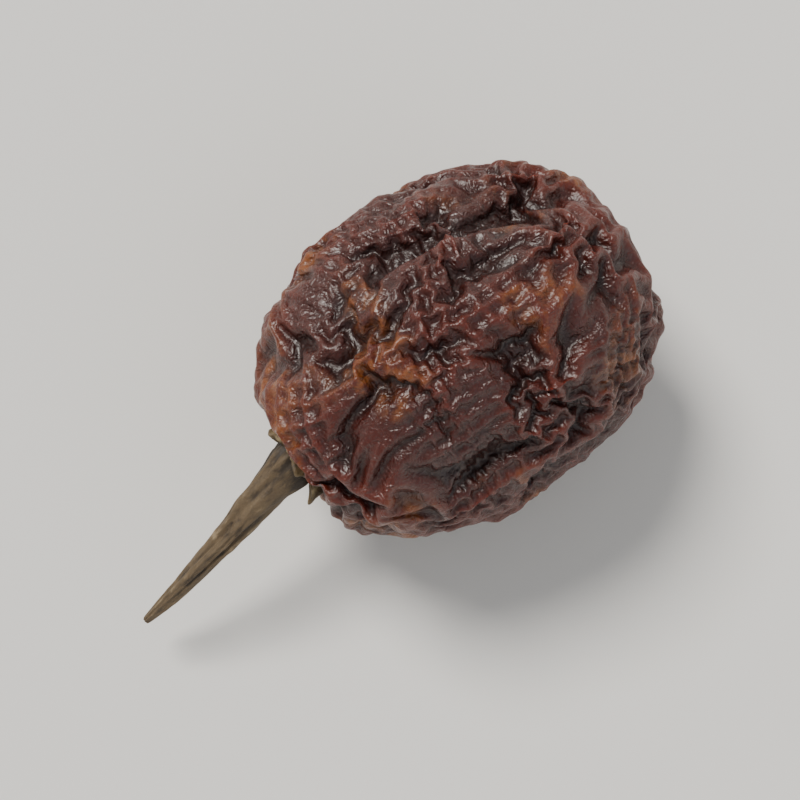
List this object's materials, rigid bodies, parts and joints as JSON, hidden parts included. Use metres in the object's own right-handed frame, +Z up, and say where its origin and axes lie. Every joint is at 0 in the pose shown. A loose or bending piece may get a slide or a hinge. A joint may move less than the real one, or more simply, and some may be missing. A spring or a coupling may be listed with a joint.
{
  "type": "dried habanero chilli pepper",
  "caption": "Whole dried habanero chilli pepper: a short, wrinkled, lantern-shaped pod lying on its side, with its calyx and dry stem.",
  "frame": {"origin": "middle of the flat on the pod's underside that it rests on", "axes": "+Z up from the surface it rests on; +X along the pod from its stem end to its blossom end; the stem slants towards -Y"},
  "size_m": [0.0427, 0.023, 0.0209],
  "materials": {
    "pod_skin": "dried chilli skin: translucent dark brown-red, crumpled, semi-gloss, with amber patches",
    "calyx_husk": "dry olive-brown husk, matt, with a paler rim",
    "stem_bark": "dry olive-brown stalk, matt, ridged lengthwise"
  },
  "bodies": {
    "root": {"pod": "pod_skin", "calyx": "calyx_husk", "stem": "stem_bark"}
  },
  "joints": []
}
